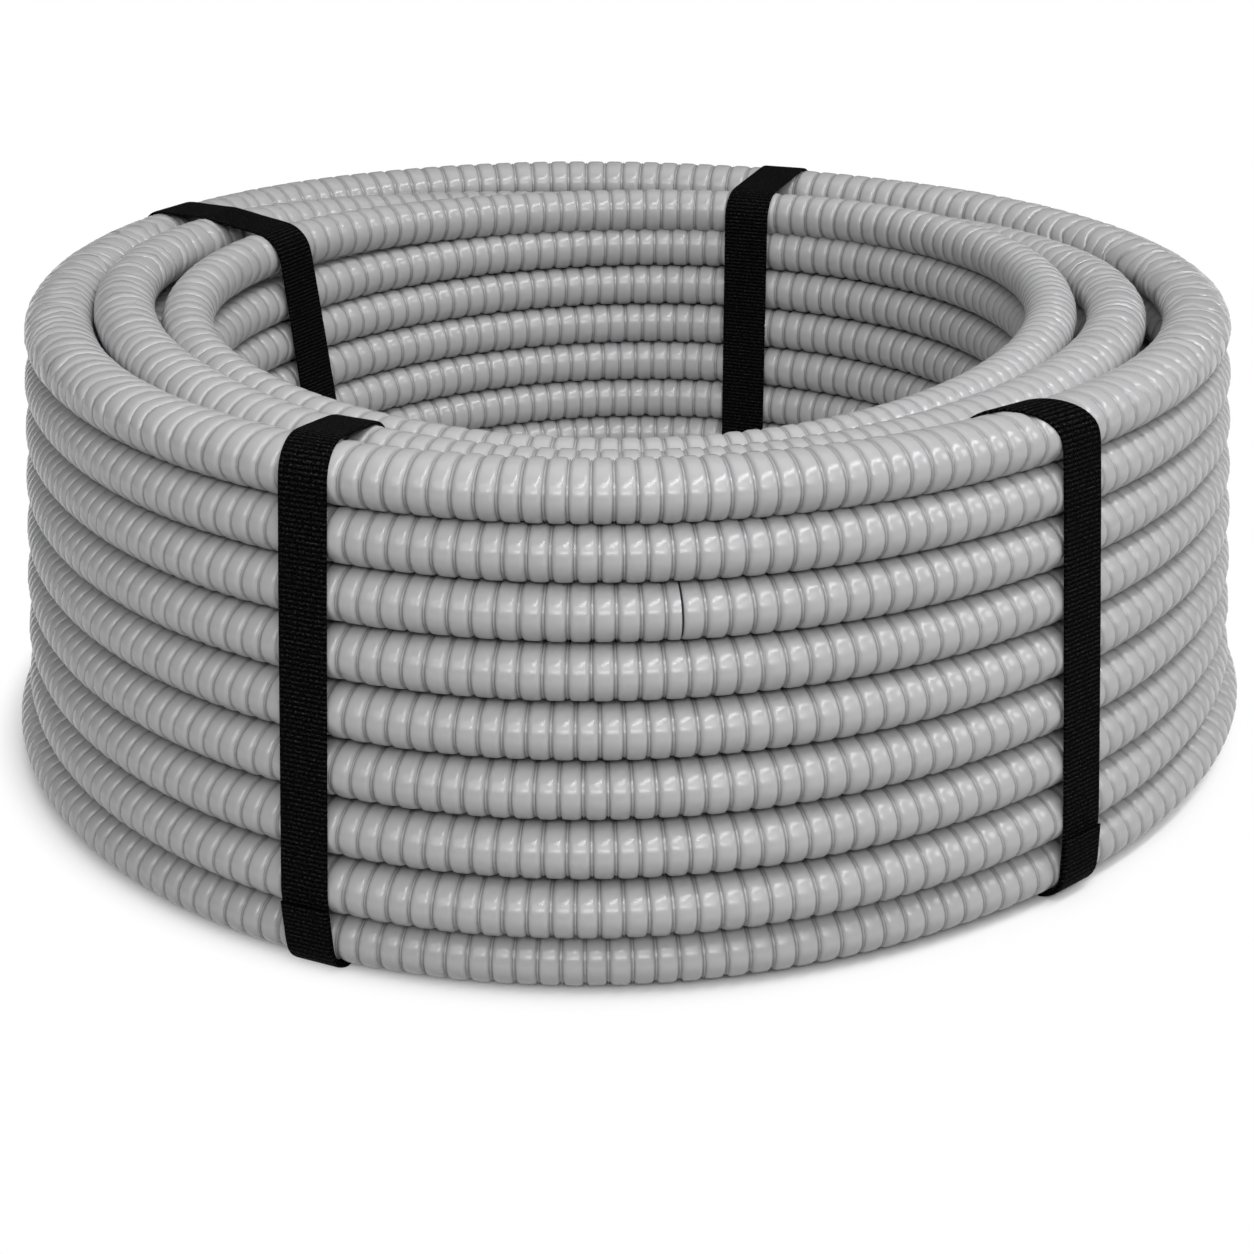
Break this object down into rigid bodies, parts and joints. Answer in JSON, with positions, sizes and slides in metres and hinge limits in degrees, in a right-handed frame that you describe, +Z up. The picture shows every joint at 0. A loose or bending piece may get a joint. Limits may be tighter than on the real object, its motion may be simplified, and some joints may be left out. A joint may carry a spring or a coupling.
{
  "type": "coil of corrugated conduit",
  "caption": "Coil of grey corrugated plastic conduit wound in stacked rows and side-by-side rings round an open eye, held by flat black webbing straps and lying on its side face.",
  "frame": {"origin": "on the coil's axis, at the underside that lies on the floor", "axes": "+Z up along the coil's axis, -Y towards the front that the picture shows, +X to its right"},
  "size_m": [0.5762, 0.5762, 0.205],
  "materials": {
    "conduit": "satin",
    "strap": "woven"
  },
  "bodies": {
    "root": {"conduit_coil": "conduit", "strap_front_left": "strap", "strap_front_right": "strap", "strap_rear_left": "strap", "strap_rear_right": "strap"}
  },
  "joints": []
}
